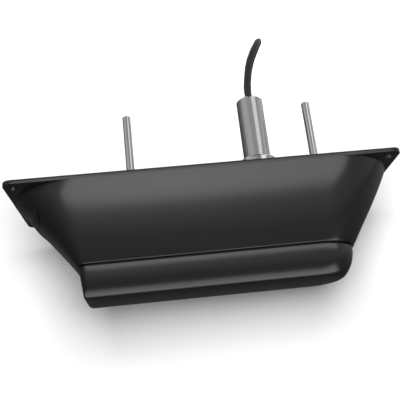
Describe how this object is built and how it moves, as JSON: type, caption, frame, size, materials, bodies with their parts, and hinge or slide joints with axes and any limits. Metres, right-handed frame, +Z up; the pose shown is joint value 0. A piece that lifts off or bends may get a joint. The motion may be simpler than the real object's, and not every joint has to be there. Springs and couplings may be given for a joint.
{
  "type": "sonar transducer",
  "caption": "Through-hull sonar transducer: boat-shaped black fairing with a screw flange, a sonar pod under it, a threaded steel stem, mounting studs and a coiled cable with its plug.",
  "frame": {"origin": "on the stem's axis at the hull face of the flange", "axes": "+Z up the stem into the hull, +X along the fairing to its rounded nose, +Y away from the camera"},
  "size_m": [0.3575, 0.1779, 0.2839],
  "materials": {
    "black_urethane": "fine moulded satin",
    "stainless_steel": "turned and threaded",
    "brass": "turned",
    "seal_rubber": "moulded",
    "cork_rubber": "cut sheet",
    "piezo_ceramic": "ground",
    "matching_epoxy": "cast and ground",
    "board_laminate": "solder mask",
    "ferrite": "sintered",
    "flex_film": "polyimide film",
    "core_wrap": "foil wrapped",
    "cable_jacket": "extruded satin",
    "tie_nylon": "moulded",
    "plug_plastic": "moulded satin"
  },
  "bodies": {
    "root": {"fairing": "black_urethane", "pod_shell": "black_urethane", "pod_lid": "black_urethane", "pod_gasket": "seal_rubber", "stem": "stainless_steel", "stem_o_ring": "seal_rubber", "stem_foot_nut": "stainless_steel", "tail_stud": "stainless_steel", "nose_stud": "stainless_steel", "stud_nuts": "brass", "array_carrier": "black_urethane", "near_backing": "cork_rubber", "far_backing": "cork_rubber", "near_side_row": "piezo_ceramic", "far_side_row": "piezo_ceramic", "near_matching_strip": "matching_epoxy", "far_matching_strip": "matching_epoxy", "down_row": "piezo_ceramic", "down_matching_strip": "matching_epoxy", "disc_element": "piezo_ceramic", "disc_matching_plate": "matching_epoxy", "disc_backing": "cork_rubber", "circuit_board": "board_laminate", "transformers": "ferrite", "board_screws": "stainless_steel", "flex_leads": "flex_film", "temperature_sensor": "stainless_steel", "cable_core": "core_wrap", "cable_seal": "seal_rubber", "cable": "cable_jacket", "cable_coil": "cable_jacket", "cable_tail": "cable_jacket", "coil_ties": "tie_nylon", "connector_body": "plug_plastic", "connector_ring": "plug_plastic", "connector_insert": "plug_plastic", "connector_pins": "brass"}
  },
  "joints": []
}
